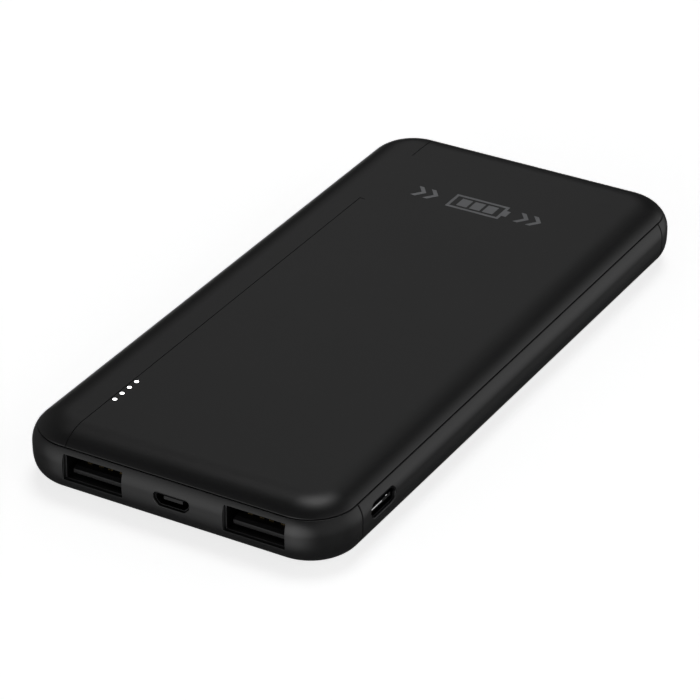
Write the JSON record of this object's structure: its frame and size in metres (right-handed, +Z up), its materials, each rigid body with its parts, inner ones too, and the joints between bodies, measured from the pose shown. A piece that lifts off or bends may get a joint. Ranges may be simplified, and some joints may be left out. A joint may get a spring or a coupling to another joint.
{
  "type": "power bank",
  "caption": "Slim pocket power bank with rounded edges, sockets in one end and one side, a charge gauge and a side power key.",
  "frame": {"origin": "middle of the underside, at the centre of the outline seen from above", "axes": "+X to the long side with the USB-C socket, +Y to the plain end (the end with the other sockets faces -Y), +Z up through the top cover"},
  "size_m": [0.07, 0.1474, 0.0131],
  "materials": {
    "case_plastic": "matte, finely textured black moulding",
    "grey_ink": "pad-printed grey ink",
    "ivory_plastic": "moulded switch stem",
    "steel_sheet": "thin plated sheet",
    "board_laminate": "green solder mask on glass-epoxy board",
    "screw_steel": "zinc-plated steel",
    "clear_plastic": "clear acrylic with a milky tip",
    "black_plastic": "matte black moulding",
    "led_white": "white lamp body",
    "ferrite_moulding": "pressed ferrite powder",
    "can_aluminium": "drawn can",
    "chip_moulding": "epoxy moulding",
    "ceramic_tan": "fired ceramic",
    "cell_pouch": "laminated foil pouch",
    "white_tape": "double-sided tape",
    "grey_foam": "closed-cell foam",
    "nickel_strip": "nickel strip",
    "insulating_paper": "insulating paper",
    "socket_shell": "nickel-plated stainless sheet",
    "black_metal": "black-plated steel sheet",
    "socket_insulator": "black moulded insulator",
    "gold_contact": "gold-plated contact"
  },
  "bodies": {
    "case": {"top_cover": "case_plastic", "bottom_cover": "case_plastic", "front_cap": "case_plastic", "rear_cap": "case_plastic", "printed_mark": "grey_ink", "switch_body": "steel_sheet", "main_board": "board_laminate", "board_screws": "screw_steel", "usb_a_left_shell": "socket_shell", "usb_a_left_tongue": "socket_insulator", "usb_a_left_contacts": "gold_contact", "usb_a_right_shell": "socket_shell", "usb_a_right_tongue": "socket_insulator", "usb_a_right_contacts": "gold_contact", "micro_usb_shell": "black_metal", "micro_usb_tongue": "socket_insulator", "micro_usb_contacts": "gold_contact", "usb_c_shell": "black_metal", "usb_c_tongue": "socket_insulator", "usb_c_contacts": "gold_contact", "light_guide": "clear_plastic", "light_baffle": "black_plastic", "charge_leds": "led_white", "power_inductor": "ferrite_moulding", "controller_chip": "chip_moulding", "power_transistors": "chip_moulding", "output_capacitors": "can_aluminium", "ceramic_capacitors": "ceramic_tan", "chip_resistors": "chip_moulding", "protection_chips": "chip_moulding", "battery_cell_lower": "cell_pouch", "battery_cell_upper": "cell_pouch", "cell_bottom_tape": "white_tape", "cell_middle_tape": "white_tape", "cell_top_foam": "grey_foam", "positive_tab": "nickel_strip", "negative_tab": "nickel_strip", "tab_insulator": "insulating_paper"},
    "button": {"power_button": "case_plastic", "switch_plunger": "ivory_plastic"}
  },
  "joints": [
    {"name": "power_button_press", "type": "slide", "parent": "case", "child": "button", "axis": [1, 0, 0], "range_m": [0, 0.00025], "stiffness_N_per_m": 800, "springref_m": -0.0005}
  ]
}
